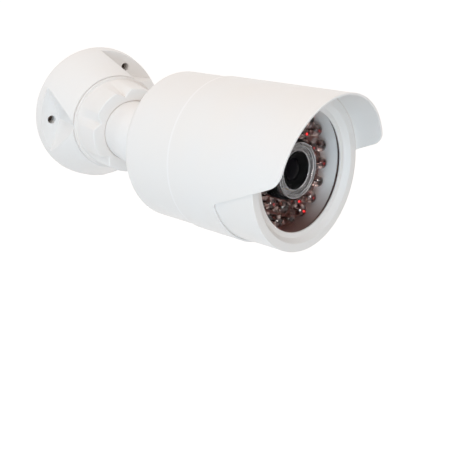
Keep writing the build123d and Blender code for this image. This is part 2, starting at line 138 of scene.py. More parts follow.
class CasingSizes(PropertyGroup):
    """Sizes of the housing, sunshield, bezel and window."""

    shield_wall: length("Shield wall", 0.9, "Wall of the sunshield")
    shield_edge: length("Shield edge", 0.15, "Rounding of the sunshield's outer edges")
    shield_inner_edge: length("Shield inner edge", 0.25, "Rounding of the sunshield's inner edges")
    # The back band carries a painted highlight along the sunshield's back edge
    back_highlight_band: length("Back band", 1.0, "Width of the pale band along the sunshield's back edge")
    housing_wall: length("Housing wall", 2.8, "Wall of the housing under the sunshield")
    housing_back_wall: length("Back wall", 3.0, "Thickness of the housing's back wall")
    housing_round: length("Back rounding", 3.4, "Rounding of the housing's back edge")
    boss_r: length("Boss radius", 10.5, "Radius of the stem boss inside the housing")
    boss_length: length("Boss length", 8.0, "Length of the stem boss inside the housing")
    ring_front: length("Ring front", 51.6, "Front of the sunshield's closed ring, from the housing's back")
    visor_corner: length("Visor corner", 85.6, "Lower front corner of the visor, from the housing's back")
    visor_corner_height: length("Visor corner height", 6.2, "Height of that corner above the axis")
    visor_heel_height: length("Visor heel height", -7.8, "Height where the visor leaves the ring")
    visor_corner_round: length("Visor corner rounding", 8.0, "Rounding of the visor's lower front corner")
    visor_heel_round: length("Visor heel rounding", 3.0, "Rounding where the visor leaves the ring")
    bezel_lap: length("Bezel lap", 2.0, "Bezel edge hidden under the sunshield's ring")
    mouth_r: length("Mouth radius", 28.1, "Radius of the bezel's mouth at its front")
    ledge_r: length("Ledge radius", 26.3, "Radius at the foot of the bezel's mouth")
    ledge_depth: length("Ledge depth", 2.3, "Depth of the bezel's mouth")
    sight_r: length("Sight radius", 24.2, "Radius of the window that shows")
    seam: length("Seam", 0.03, "Gap between the bezel and the sunshield")
    bezel_edge: length("Bezel edge", 0.25, "Rounding of the bezel's edges")


class OpticsSizes(PropertyGroup):
    """Sizes of the lamps, the lens and what stands round it."""

    lamp_r: length("Lamp radius", 2.5, "Radius of an infrared lamp")
    lamp_flange_r: length("Lamp flange radius", 2.7, "Radius of a lamp's foot")
    lamp_flange: length("Lamp flange", 1.0, "Height of a lamp's foot")
    lamp_barrel: length("Lamp barrel", 2.2, "Height of a lamp's straight part")
    outer_ring_r: length("Outer ring radius", 21.5, "Distance of the outer lamps from the axis")
    outer_places: IntProperty(name="Outer places", description="Places in the outer lamp ring", default=18)
    outer_phase: turn("Outer phase", 30.0, "Turn of the first outer lamp")
    inner_ring_r: length("Inner ring radius", 15.7, "Distance of the inner lamps from the axis")
    inner_places: IntProperty(name="Inner places", description="Places in the inner lamp ring", default=12)
    inner_phase: turn("Inner phase", 107.0, "Turn of the inner place that holds the light sensor")
    cup_r: length("Cup radius", 0.8, "Radius of the cup inside a lamp")
    cup_depth: length("Cup depth", 0.8, "Depth of the cup inside a lamp")
    cup_lift: length("Cup lift", 4.2, "Height of the cup's rim above the lamp's foot")
    die_side: length("Die side", 0.6, "Width of the glowing die in a lamp")
    cell_r: length("Cell radius", 2.2, "Radius of the light sensor")
    shroud_rim: length("Shroud rim", 1.6, "Width of the shroud's raised rim")
    shroud_step: length("Shroud step", 0.7, "Drop from the shroud's rim to its ledge")
    shroud_bore_r: length("Shroud bore radius", 7.6, "Radius of the hole through the shroud")
    lens_head: length("Lens head", 15.5, "Length of the lens barrel's wide head")
    lens_thread_r: length("Lens thread radius", 6.0, "Radius of the lens barrel's thread")
    lens_rim_depth: length("Lens rim depth", 1.8, "Depth of the lens barrel's mouth")
    lens_glass_r: length("Lens glass radius", 4.6, "Radius of the front glass")
    lens_bulge: length("Lens bulge", 1.4, "How far the front glass stands out")


class FinishColours(PropertyGroup):
    """Colours of the main finishes."""

    plastic: colour("Plastic", (0.86, 0.86, 0.855), "White moulded plastic")
    plastic_warm: colour("Plastic, warm", (0.87, 0.855, 0.835), "Warmer patches of the white plastic")
    # Painted warm shade that the white plastic takes in tight corners
    plastic_corner_shade: colour("Plastic, crevices", (0.72, 0.54, 0.41), "White plastic in tight corners")
    board: colour("Board", (0.115, 0.054, 0.047), "Lacquer of the lamp board")
    lamp_glow: colour("Lamp glow", (1.0, 0.02, 0.02), "Glow of an infrared lamp's die")
    black: colour("Black", (0.005, 0.005, 0.005), "Black rubber, foam and plastic")


class StageSettings(PropertyGroup):
    """Place of the viewer, the lights and the floor."""

    eye: FloatVectorProperty(
        name="Eye", description="Place of the viewer", default=(-0.15763, -0.38353, 0.11554),
        subtype="TRANSLATION", unit="LENGTH",
    )
    azimuth: turn("Azimuth", 30.97, "Turn of the view from +Y towards +X")
    dip: turn("Dip", 23.88, "How far the view looks down")
    roll: turn("Roll", 2.54, "Turn of the picture about the view")
    focal: amount("Focal length", 66.19, "Lens of the view, in millimetres")
    floor_drop: length("Floor drop", 260.0, "Height of the mount above the floor")
    floor_glow: amount("Floor glow", 0.52, "What is added to the lit floor to make it white")
    key_power: amount("Key power", 3.42, "Power of the high soft lamp", unit="POWER")
    low_power: amount("Low power", 3.4, "Power of the low soft lamp", unit="POWER")
    spark_power: amount("Spark power", 30.0, "Power of the lamp for the clear pieces alone", unit="POWER")
    sky: amount("Sky", 0.35, "Strength of the even light at the horizon")
    sky_rise: amount("Sky rise", 0.63, "Gain of the even light towards the top")


def joint_named(name):
    """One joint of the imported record."""
    return next(joint for joint in frame["record"]["behaviour"]["joints"] if joint["name"] == name)


# Places: local Z runs out along each axis, local X and Y lie across it
OUTWARD = Matrix.Rotation(pi / 2, 4, "X")
PIVOT = Vector(joint_named("stem_tilt")["pos_m"])
FORWARD = Vector(joint_named("camera_roll")["axis"]).normalized()
LEAN = Vector((0, -1, 0)).rotation_difference(FORWARD).to_matrix().to_4x4()
WALL = OUTWARD
DOME = OUTWARD @ Matrix.Rotation(atan2(FORWARD.z, FORWARD.x), 4, "Z")
STEM = Matrix.Translation(PIVOT) @ LEAN @ OUTWARD


def reach(node, place):
    """Back station, front station and outer radius of a CAD node along a place's local Z."""
    back = place.inverted()
    item = frame["nodes"][node]
    points = [back @ item.matrix_world @ vertex.co for vertex in item.data.vertices]
    stations = [point.z for point in points]
    return min(stations), max(stations), max(hypot(point.x, point.y) for point in points)


CAMERA = STEM @ Matrix.Translation((0, 0, reach("rear_housing", STEM)[0]))


def mode(name):
    bpy.ops.object.mode_set(mode=name)


def choose(action):
    bpy.ops.mesh.select_all(action=action)


def extrude(*step):
    bpy.ops.mesh.extrude_region_move(TRANSFORM_OT_translate={"value": step})


def work_on(*items):
    """Select only these objects and make the first one active."""
    if bpy.context.mode != "OBJECT":
        mode("OBJECT")
    bpy.ops.object.select_all(action="DESELECT")
    for item in items:
        item.select_set(True)
    if items:
        bpy.context.view_layer.objects.active = items[0]


def name_piece(name):
    piece = bpy.context.object
    piece.name = name
    piece.data.name = name
    return piece


def face_outwards():
    """Point all faces outwards and leave edit mode."""
    choose("SELECT")
    bpy.ops.mesh.normals_make_consistent(inside=False)
    mode("OBJECT")


def turned(name, corners, segments, hollow=True):
    """A ring extruded from corner to corner, then bridged to its start or capped at both ends."""
    work_on()
    (radius, station), *rest = corners
    bpy.ops.mesh.primitive_circle_add(vertices=segments, radius=radius, location=(0, 0, station))
    piece = name_piece(name)
    bpy.ops.object.transform_apply()
    mode("EDIT")
    choose("SELECT")
    for next_radius, next_station in rest:
        grow = next_radius / radius
        extrude(0, 0, next_station - station)
        bpy.ops.transform.resize(value=(grow, grow, 1), center_override=(0, 0, next_station))
        radius, station = next_radius, next_station
    bpy.ops.mesh.select_mode(type="EDGE")
    choose("DESELECT")
    bpy.ops.mesh.select_non_manifold()
    if hollow:
        bpy.ops.mesh.bridge_edge_loops()
    else:
        bpy.ops.mesh.fill_holes(sides=0)
    face_outwards()
    return piece


def drawn(name, outline, station=0.0):
    """A flat face in local X and Y, drawn from corner to corner out of one point."""
    work_on()
    (x, y), *rest = outline
    bpy.ops.mesh.primitive_plane_add(size=MM, location=(x, y, station))
    piece = name_piece(name)
    bpy.ops.object.transform_apply()
    mode("EDIT")
    bpy.ops.mesh.select_mode(type="VERT")
    choose("SELECT")
    bpy.ops.mesh.merge(type="CENTER")
    for next_x, next_y in rest:
        extrude(next_x - x, next_y - y, 0)
        x, y = next_x, next_y
    choose("SELECT")
    bpy.ops.mesh.edge_face_add()
    mode("OBJECT")
    return piece


def prism(name, outline, back, front):
    """A drawn face, extruded from one station to another."""
    piece = drawn(name, outline, back)
    mode("EDIT")
    choose("SELECT")
    extrude(0, 0, front - back)
    face_outwards()
    return piece


def put(piece, place):
    """Move a piece to its place, leaving the place in its mesh."""
    work_on(piece)
    piece.matrix_world = place
    bpy.ops.object.transform_apply()
    return piece


def modify(piece, kind, **values):
    """Add one modifier to a piece, set it and apply it."""
    work_on(piece)
    bpy.ops.object.modifier_add(type=kind)
    change = piece.modifiers[-1]
    for label, value in values.items():
        setattr(change, label, value)
    bpy.ops.object.modifier_apply(modifier=change.name)


def cut(piece, cutter):
    """Cut one piece with another, which is used up."""
    modify(piece, "BOOLEAN", operation="DIFFERENCE", solver="EXACT", object=cutter)
    bpy.data.objects.remove(cutter)


def cut_around(piece, count, phase, make_cutter):
    """Cut a pattern of like shapes, turned about local Z."""
    for step in range(count):
        cut(piece, put(make_cutter(), Matrix.Rotation(phase + step * 2 * pi / count, 4, "Z")))


def soften(piece, width, steps=3, sharper_than=30.0, limit="ANGLE"):
    """Round every edge that is sharper than an angle or has a bevel weight, then shade the piece smooth."""
    modify(
        piece, "BEVEL", width=width, segments=steps, limit_method=limit,
        angle_limit=radians(sharper_than), use_clamp_overlap=True,
    )
    shade(piece)
    modify(piece, "WEIGHTED_NORMAL", keep_sharp=True)


def shade(piece):
    work_on(piece)
    bpy.ops.object.shade_smooth_by_angle(angle=radians(32))


def arc(centre, radius, start, end, steps):
    """Corners along an arc, angles in degrees."""
    across, along = centre
    angles = [radians(start + (end - start) * step / steps) for step in range(steps + 1)]
    return [(across + radius * cos(angle), along + radius * sin(angle)) for angle in angles]


def rounded(before, corner, after, radius, steps=12):
    """Points of the arc that rounds one corner of an outline."""
    corner = Vector(corner)
    one = (Vector(before) - corner).normalized()
    two = (Vector(after) - corner).normalized()
    half = one.angle(two) / 2
    middle = corner + (one + two).normalized() * radius / sin(half)
    start = corner + one * radius / tan(half) - middle
    end = corner + two * radius / tan(half) - middle
    sweep = start.angle_signed(end)
    return [tuple(middle + Matrix.Rotation(-sweep * step / steps, 2) @ start) for step in range(steps + 1)]


def between(corners, place):
    """Value at a place along a line of corners whose first numbers rise."""
    for (start, low), (end, high) in zip(corners, corners[1:]):
        if start <= place <= end:
            return low + (high - low) * (place - start) / (end - start)
    return corners[-1][1]


def start_points(piece):
    """Make a piece ready for changes to single points."""
    work_on(piece)
    mode("EDIT")
    bpy.ops.mesh.select_mode(type="VERT")
    choose("DESELECT")
    mode("OBJECT")


def with_points(piece, row, change, **values):
    """Select some points of a piece, change them together and let them go."""
    for index in row:
        piece.data.vertices[index].select = True
    mode("EDIT")
    change(**values)
    choose("DESELECT")
    mode("OBJECT")


def copies_around(one, name, count, phase, distance, used):
    """Copies of a small piece at some places of a circle, joined into one; the first is used up."""
    items = []
    off_axis = Matrix.Translation((distance, 0, 0))
    for step in used:
        item = one.copy()
        item.data = one.data.copy()
        bpy.context.collection.objects.link(item)
        put(item, Matrix.Rotation(phase + step * 2 * pi / count, 4, "Z") @ off_axis)
        items.append(item)
    bpy.data.objects.remove(one)
    return joined(name, items)


def joined(name, items):
    work_on(*items)
    bpy.ops.object.join()
    return name_piece(name)


def hand_over(piece, place, body, slot, *nodes, look=None):
    """Put a finished piece in its place, with its look, its body and the nodes it stands for."""
    put(piece, place)
    piece.data.materials.clear()
    piece.data.materials.append(finish(look or slot))
    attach(piece, body)
    if nodes:
        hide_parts(*nodes)


def add_node(tree, kind, **values):
    """A shader node with some of its inputs set."""
    node = tree.nodes.new("ShaderNode" + kind)
    for label, value in values.items():
        node.inputs[label.replace("_", " ")].default_value = value
    return node


def scaled(tone, share):
    return [share * part for part in tone]


class Finish:
    """A procedural material whose patterns read Object coordinates."""

    def __init__(self, name, **values):
        self.material = bpy.data.materials.new(name)
        self.material.use_nodes = True
        self.tree = self.material.node_tree
        self.shader = self.tree.nodes["Principled BSDF"]
        self.place = add_node(self.tree, "TexCoord").outputs["Object"]
        for label, value in values.items():
            self.shader.inputs[label.replace("_", " ")].default_value = value

    def fed(self, kind, source, socket, **values):
        """A node with one input fed by a source and others set."""
        node = add_node(self.tree, kind, **values)
        self.tree.links.new(source, node.inputs[socket])
        return node

    def noise(self, scale, detail):
        return self.fed("TexNoise", self.place, "Vector", Scale=scale, Detail=detail).outputs["Fac"]

    def span(self, source, low, high, start=0.3, end=0.7):
        ends = {"From_Min": start, "From_Max": end, "To_Min": low, "To_Max": high}
        return self.fed("MapRange", source, "Value", **ends).outputs["Result"]

    def blend(self, factor, one, two):
        node = add_node(self.tree, "Mix")
        node.data_type = "RGBA"
        self.tree.links.new(factor, node.inputs["Factor"])
        for socket, value in ((node.inputs[6], one), (node.inputs[7], two)):
            if isinstance(value, NodeSocket):
                self.tree.links.new(value, socket)
            else:
                socket.default_value = (*value, 1.0)
        return node.outputs[2]

    def link(self, source, label):
        self.tree.links.new(source, self.shader.inputs[label])

    def tint(self, factor, one, two, label="Base Color"):
        self.link(self.blend(factor, one, two), label)

    def rough(self, source, low, high, start=0.3, end=0.7):
        self.link(self.span(source, low, high, start, end), "Roughness")

    def bump(self, source, strength, depth):
        """Relief whose depth is in millimetres."""
        node = self.fed("Bump", source, "Height", Strength=strength, Distance=depth * MM)
        self.link(node.outputs["Normal"], "Normal")


def patterned(name, pattern, tones=None, rough=None, bump=None, **values):
    """A finish whose tone, roughness and relief follow one fine pattern, given by scale and detail."""
    made = Finish(name, **values)
    source = made.noise(*pattern)
    if tones:
        made.tint(made.span(source, 0.0, 1.0), *tones)
    if rough:
        made.rough(source, *rough)
    if bump:
        made.bump(source, *bump)
    return made


PATTERNED = {
    # Paler white for the sunshield's front edge faces and back band: a painted highlight
    "white_painted_highlight": dict(
        pattern=(38, 2), tones=((0.905, 0.905, 0.91), (0.905, 0.895, 0.885)), Roughness=0.3, IOR=1.46),
    # Flat clear window with a trace of smears
    "window_clear": dict(
        pattern=(90, 5), rough=(0.0, 0.035), Base_Color=(0.98, 0.985, 0.99, 1),
        Transmission_Weight=1.0, IOR=1.05, Alpha=0.1),
    # Smoky clear epoxy of a lamp, a little uneven inside
    "lamp_clear": dict(
        pattern=(600, 3), rough=(0.02, 0.10), Base_Color=(0.42, 0.31, 0.29, 1),
        Transmission_Weight=1.0, IOR=1.38),
    # Clear plastic tube, faintly milky, and pale grey beads on its edges that carry a painted highlight
    "shroud_clear": dict(
        pattern=(60, 2), rough=(0.02, 0.06), Base_Color=(0.88, 0.85, 0.85, 1),
        Transmission_Weight=0.95, IOR=1.49),
    "shroud_edge": dict(
        pattern=(140, 2), tones=((0.62, 0.60, 0.61), (0.30, 0.28, 0.28)), Roughness=0.2, IOR=1.49),
    # Dark front glass with a violet coating
    "lens_glass": dict(
        pattern=(180, 2), tones=((0.003, 0.002, 0.004), (0.002, 0.002, 0.003)), Roughness=0.05, IOR=1.1),
    "filter_glass": dict(
        pattern=(240, 2), tones=((0.45, 0.20, 0.24), (0.35, 0.20, 0.34)),
        Roughness=0.08, IOR=1.52, Coat_Weight=0.5),
    # Soft clear silicone, painted dark brown as the shade in the gap between the window and the board
    "clear_silicone": dict(
        pattern=(260, 3), tones=((0.10, 0.06, 0.055), (0.14, 0.09, 0.08)), rough=(0.35, 0.5),
        Subsurface_Weight=0.3, Subsurface_Scale=0.5 * MM),
    # Black anodised metal with fine turning marks
    "black_metal": dict(
        pattern=(700, 3), tones=((0.002, 0.002, 0.002), (0.005, 0.005, 0.005)), rough=(0.45, 0.6),
        bump=(0.08, 0.03), IOR=1.12),
    # Dulled cup and post inside a lamp
    "dark_cup": dict(pattern=(1500, 3), rough=(0.12, 0.3), Base_Color=(0.09, 0.055, 0.05, 1), Metallic=0.6),
    "socket_plastic": dict(
        pattern=(500, 3), tones=((0.62, 0.58, 0.46), (0.70, 0.66, 0.55)),
        rough=(0.4, 0.55), bump=(0.1, 0.05)),
    "chip": dict(
        pattern=(2200, 4), tones=((0.018, 0.018, 0.02), (0.035, 0.035, 0.038)),
        rough=(0.5, 0.7), bump=(0.2, 0.04)),
    "brass": dict(
        pattern=(400, 3), tones=((0.60, 0.42, 0.16), (0.70, 0.52, 0.24)), rough=(0.2, 0.34), Metallic=1.0),
    "steel": dict(
        pattern=(600, 3), tones=((0.50, 0.50, 0.50), (0.62, 0.62, 0.63)), rough=(0.22, 0.38), Metallic=1.0),
}


def white_plastic(name, painted_shade_reach=3.5, painted_shade_open=0.55):
    """Lightly glossy white plastic with faint flow marks, and a painted warm shade in tight corners, found by
    ambient occlusion.
    """
    shades = bpy.context.scene.finish_colours
    made = Finish(name, IOR=1.46, Coat_Weight=0.12, Coat_Roughness=0.12)
    tone = made.blend(made.span(made.noise(38, 2), 0.0, 1.0), shades.plastic, shades.plastic_warm)
    # Painted shade: corners that the occlusion finds are tinted towards the warm corner shade
    corner = add_node(made.tree, "AmbientOcclusion", Distance=painted_shade_reach * MM)
    corner.samples = 8
    made.tint(made.span(corner.outputs["AO"], 0.4, 0.0, 0.1, painted_shade_open), tone, shades.plastic_corner_shade)
    made.rough(made.noise(210, 4), 0.30, 0.42)
    made.bump(made.noise(1900, 2), 0.10, 0.05)
    return made


def grip_plastic(name):
    """The collar's white plastic, with a wider painted shade in its grip notches."""
    return white_plastic(name, 9.0, 0.9)


def inner_white(name):
    """White plastic behind the window, paler than the white plastic as painted light, and darkened by height to
    the board's brown towards its foot as painted shade and painted reflection of the board.
    """
    made = Finish(name)
    flow = made.noise(120, 3)
    white = made.blend(made.span(flow, 0.0, 1.0), (0.95, 0.94, 0.92), (0.97, 0.96, 0.95))
    # Painted shade and painted reflection of the board: brown towards the bottom, by height
    height = made.fed("SeparateXYZ", made.place, "Vector").outputs["Z"]
    board = frame["nodes"]["led_board"]
    middle = sum((board.matrix_world @ Vector(corner)).z for corner in board.bound_box) / 8
    made.tint(made.span(height, 1.0, 0.0, middle - 25 * MM, middle - 11 * MM), white, (0.20, 0.11, 0.095))
    made.rough(flow, 0.4, 0.55)
    made.bump(flow, 0.05, 0.05)
    return made


def black_rubber(name):
    """Matt black rubber and foam with open pores."""
    black = bpy.context.scene.finish_colours.black
    return patterned(name, (1600, 5), (black, scaled(black, 1.8)), (0.72, 0.92), (0.35, 0.12), IOR=1.15)


def black_plastic(name):
    """Fine-grained black plastic."""
    black = bpy.context.scene.finish_colours.black
    return patterned(name, (900, 4), (black, scaled(black, 1.6)), (0.38, 0.55), (0.15, 0.05))


def board_lacquer(name):
    """Dark red-brown lacquer over copper tracks."""
    made = Finish(name, IOR=1.25)
    lacquer = bpy.context.scene.finish_colours.board
    tracks = made.span(made.noise(420, 1), 0.0, 1.0, 0.48, 0.52)
    mottle = made.blend(made.span(made.noise(160, 4), 0.0, 1.0), lacquer, scaled(lacquer, 1.7))
    made.tint(tracks, mottle, scaled(lacquer, 2.2))
    made.rough(tracks, 0.45, 0.6, 0.0, 1.0)
    made.bump(tracks, 0.2, 0.04)
    return made


def bright_die(name, strength=5.0):
    """Red glow of a lamp's die, uneven over its face."""
    made = Finish(name, Base_Color=(0.25, 0.01, 0.01, 1), Roughness=0.4, Emission_Strength=strength)
    glow = bpy.context.scene.finish_colours.lamp_glow
    made.tint(made.span(made.noise(2500, 2), 0.0, 1.0), glow, scaled(glow, 0.6), "Emission Color")
    return made


def faint_die(name):
    return bright_die(name, 0.8)


def sensor_cell(name):
    """Light cell with a winding dark track under its clear face."""
    made = Finish(name, Coat_Weight=0.8)
    wave = made.fed("TexWave", made.place, "Vector", Scale=420, Distortion=3)
    stripe = made.span(wave.outputs["Fac"], 0.0, 1.0, 0.45, 0.55)
    made.tint(stripe, (0.42, 0.12, 0.05), (0.55, 0.38, 0.20))
    made.rough(made.noise(800, 3), 0.15, 0.3)
    return made


def hole_painted_shade(name):
    """Painted brown shade for the discs behind the screw holes."""
    made = Finish(name, Roughness=0.9)
    made.tint(made.noise(90, 2), (0.10, 0.07, 0.05), (0.14, 0.10, 0.08))
    return made


COMPOSED = {
    "white_plastic": white_plastic,
    "grip_plastic": grip_plastic,
    "inner_white": inner_white,
    "black_rubber": black_rubber,
    "black_plastic": black_plastic,
    "board": board_lacquer,
    "bright_die": bright_die,
    "faint_die": faint_die,
    "sensor_cell": sensor_cell,
    "hole_shade": hole_painted_shade,
}
FINISHES = {}


def finish(name):
    """The material of one finish, made when it is first asked for."""
    if name not in FINISHES:
        made = COMPOSED[name](name) if name in COMPOSED else patterned(name, **PATTERNED[name])
        FINISHES[name] = made.material
    return FINISHES[name]


class BULLET_OT_wall_base(Operator):
    """Round wall base with its screw pockets, hollows and neck"""

    bl_idname = "bullet_camera.wall_base"
    bl_label = "Wall base"

    def execute(self, context):
        s = context.scene.bracket_sizes
        _, neck_out, base_r = reach("wall_base", WALL)
        piece = turned("base_shell", [
            (s.cable_bore_r, 0.0), (base_r, 0.0), (s.rim_r, s.rim_out), (s.shoulder_r, s.shoulder_out),
            (s.neck_r, s.shoulder_out), (s.neck_r, neck_out), (s.neck_bore_r, neck_out),
            (s.neck_bore_r, s.cable_bore_depth), (s.cable_bore_r, s.cable_bore_depth),
        ], ROUND)
        wall = Vector((cos(s.pocket_half), sin(s.pocket_half))) * 2 * base_r
        mouth = s.pocket_tip_r + wall.x
        outline = [(s.pocket_tip_r, 0), (mouth, -wall.y), (mouth, wall.y)]
        third = 2 * pi / 3
        pocket = ("pocket", outline, s.pocket_floor, s.shoulder_out)
        cut_around(piece, 3, s.pocket_phase, lambda: prism(*pocket))
        hole = arc((s.screw_circle_r, 0), s.screw_hole_r, 0, 345, 23)
        cut_around(piece, 3, s.pocket_phase, lambda: prism("hole", hole, -s.base_wall, 2 * s.pocket_floor))
        cut_around(piece, 3, s.pocket_phase + (third - s.recess_arc) / 2, lambda: self.hollow(s, base_r))
        soften(piece, s.base_edge)
        hand_over(piece, WALL, "base", "white_plastic", "wall_base")
        return {"FINISHED"}

    def hollow(self, s, base_r):
        """Cutter for one hollow of the base's back, spun through its arc."""
        wall = s.base_wall
        hub_r = s.cable_bore_r + s.hub_wall
        section = [
            (hub_r, -wall), (base_r - wall, -wall), (base_r - wall, 0.0),
            (s.rim_r - wall, s.rim_out - wall), (s.shoulder_r - wall, s.shoulder_out - wall),
            (hub_r, s.shoulder_out - wall),
        ]
        piece = put(drawn("hollow", section), OUTWARD)
        mode("EDIT")
        choose("SELECT")
        bpy.ops.mesh.spin(steps=22, angle=-s.recess_arc, center=(0, 0, 0), axis=(0, 0, 1))
        choose("SELECT")
        bpy.ops.mesh.remove_doubles(threshold=FINE / 1000)
        face_outwards()
        return piece


class BULLET_OT_locking_collar(Operator):
    """Locking collar with its lip and grip notches"""

    bl_idname = "bullet_camera.locking_collar"
    bl_label = "Locking collar"

    def execute(self, context):
        s = context.scene.bracket_sizes
        back, front, lip_r = reach("locking_collar", WALL)
        lip_front = back + s.lip
        hole_r = s.dome_r + s.dome_gap
        bore_r = s.neck_r + s.collar_gap
        taper = [self.at_share(s, lip_front, front, step / 12) for step in range(12)]
        corner = (s.collar_front_r - s.collar_edge, front - s.collar_edge)
        piece = turned("collar_ring", [
            (bore_r, back), (lip_r, back), (lip_r, lip_front), *taper,
            *arc(corner, s.collar_edge, 0, 90, 5),
            (hole_r, front), (hole_r, front - s.collar_face), (bore_r, front - s.collar_face),
        ], COLLAR_ROUND)
        self.sink_notches(piece, s, lip_front, front)
        soften(piece, 0.3 * MM, 2, 60.0)
        hand_over(piece, WALL, "collar", "white_plastic", "locking_collar", look="grip_plastic")
        return {"FINISHED"}

    def at_share(self, s, lip_front, front, share):
        """Radius and station of the collar's taper at a share of its length."""
        end = front - s.collar_edge
        return (
            s.collar_back_r + (s.collar_front_r - s.collar_back_r) * share,
            lip_front + (end - lip_front) * share,
        )

    def sink_notches(self, piece, s, lip_front, front):
        """Draw the outer skin in towards the axis at six places, deepest in the middle and at the front."""
        half = asin(s.notch_width / 2 / s.collar_front_r)
        inside = s.collar_front_r - 1.5 * s.collar_edge
        rows = {}
        for vertex in piece.data.vertices:
            x, y, station = vertex.co
            off = abs((atan2(y, x) - s.notch_phase + pi / 6) % (pi / 3) - pi / 6)
            if off < half and station > lip_front + s.collar_edge and hypot(x, y) > inside:
                rows.setdefault((round(station / FINE), round(off, 3)), []).append(vertex.index)
        start_points(piece)
        for (_, off), row in rows.items():
            share = (piece.data.vertices[row[0]].co.z - lip_front) / (front - lip_front)
            draw = 1 - share * (1 - off / half) * s.notch_depth / s.collar_front_r
            drawn_in = {"value": (draw, draw, 1), "center_override": (0, 0, 0)}
            with_points(piece, row, bpy.ops.transform.resize, **drawn_in)


class BULLET_OT_dome(Operator):
    """Slotted dome that the collar clamps"""

    bl_idname = "bullet_camera.dome"
    bl_label = "Slotted dome"

    def execute(self, context):
        s = context.scene.bracket_sizes
        back, _, flange_r = reach("socket_dome", WALL)
        pivot_out = -PIVOT.y
        _, collar_out, _ = reach("locking_collar", WALL)
        flange_out = collar_out - s.collar_face - s.collar_gap
        cavity_r = s.dome_r - s.dome_wall
        tip = 88.0
        piece = turned("dome_shell", [
            (cavity_r, back), (flange_r, back), (flange_r, flange_out), (s.dome_r, flange_out),
            *arc((0, pivot_out), s.dome_r, 0, tip, 26), *arc((0, pivot_out), cavity_r, tip, 0, 26),
        ], DOME_ROUND)
        slot_r = s.stem_r + s.ball_gap
        far = 2 * s.dome_r
        round_end = arc((0, 0), slot_r, 0, 352.5, 47)
        slab = [(0, -slot_r), (far, -slot_r), (far, slot_r), (0, slot_r)]
        cut(piece, prism("slot", slab, pivot_out, pivot_out + far))
        cut(piece, prism("slot_end", round_end, pivot_out, pivot_out + far))
        side = Matrix.Translation((0, 0, pivot_out)) @ Matrix.Rotation(pi / 2, 4, "Y")
        cut(piece, put(prism("slot_side", round_end, 0, far), side))
        soften(piece, 0.35 * MM)
        hand_over(piece, DOME, "dome", "white_plastic", "socket_dome")
        return {"FINISHED"}


class BULLET_OT_stem(Operator):
    """Ball, hollow stem and flanged lock nut"""

    bl_idname = "bullet_camera.stem"
    bl_label = "Stem and lock nut"

    def execute(self, context):
        s = context.scene.bracket_sizes
        _, stem_front, _ = reach("ball_stem", STEM)
        ball_r = s.dome_r - s.dome_wall - s.ball_gap
        start = -degrees(atan2(sqrt(ball_r**2 - s.stem_bore_r**2), s.stem_bore_r))
        root = degrees(atan2(sqrt(ball_r**2 - s.stem_r**2), s.stem_r))
        stem = turned("stem_tube", [
            *arc((0, 0), ball_r, start, root, 40), (s.stem_r, stem_front), (s.stem_bore_r, stem_front),
        ], MIDDLE_ROUND)
        soften(stem, 0.4 * MM)
        hand_over(stem, STEM, "stem", "white_plastic", "ball_stem")
        back, front, nut_r = reach("lock_nut", CAMERA)
        flange_back = front - s.nut_flange
        spread, run = nut_r - s.nut_neck_r, flange_back - back
        flare = [
            (s.nut_neck_r + spread * 0.5 * step**2, back + run * (0.35 + 0.65 * step))
            for step in (0.0, 0.25, 0.5, 0.75, 1.0)
        ]
        bore_r = s.stem_r + s.ball_gap / 4
        nut = turned("nut_ring", [
            (bore_r, back), (s.nut_neck_r, back), *flare,
            (nut_r, flange_back), (nut_r, front), (bore_r, front),
        ], MIDDLE_ROUND)
        soften(nut, 0.4 * MM)
        hand_over(nut, CAMERA, "stem", "white_plastic", "lock_nut")
        return {"FINISHED"}


class BULLET_OT_housing(Operator):
    """Rear housing cup with its rounded back edge and stem boss"""

    bl_idname = "bullet_camera.housing"
    bl_label = "Rear housing"

    def execute(self, context):
        s = context.scene.casing_sizes
        _, front, housing_r = reach("rear_housing", CAMERA)
        shield_back, _, shield_r = reach("sunshield", CAMERA)
        seat_r = shield_r - s.shield_wall - FITTED
        seat_back = shield_back - FITTED
        bore_r = seat_r - s.housing_wall
        hole_r = context.scene.bracket_sizes.stem_r + 0.8 * FITTED
        boss_front = s.housing_back_wall + s.boss_length
        corner = (housing_r - s.housing_round, s.housing_round)
        piece = turned("housing_cup", [
            (hole_r, 0.0), *arc(corner, s.housing_round, -90, 0, 14), (housing_r, seat_back),
            (seat_r, seat_back), (seat_r, front), (bore_r, front), (bore_r, s.housing_back_wall),
            (s.boss_r, s.housing_back_wall), (s.boss_r, boss_front), (hole_r, boss_front),
        ], ROUND)
        soften(piece, 0.3 * MM)
        hand_over(piece, CAMERA, "camera", "white_plastic", "rear_housing")
        return {"FINISHED"}


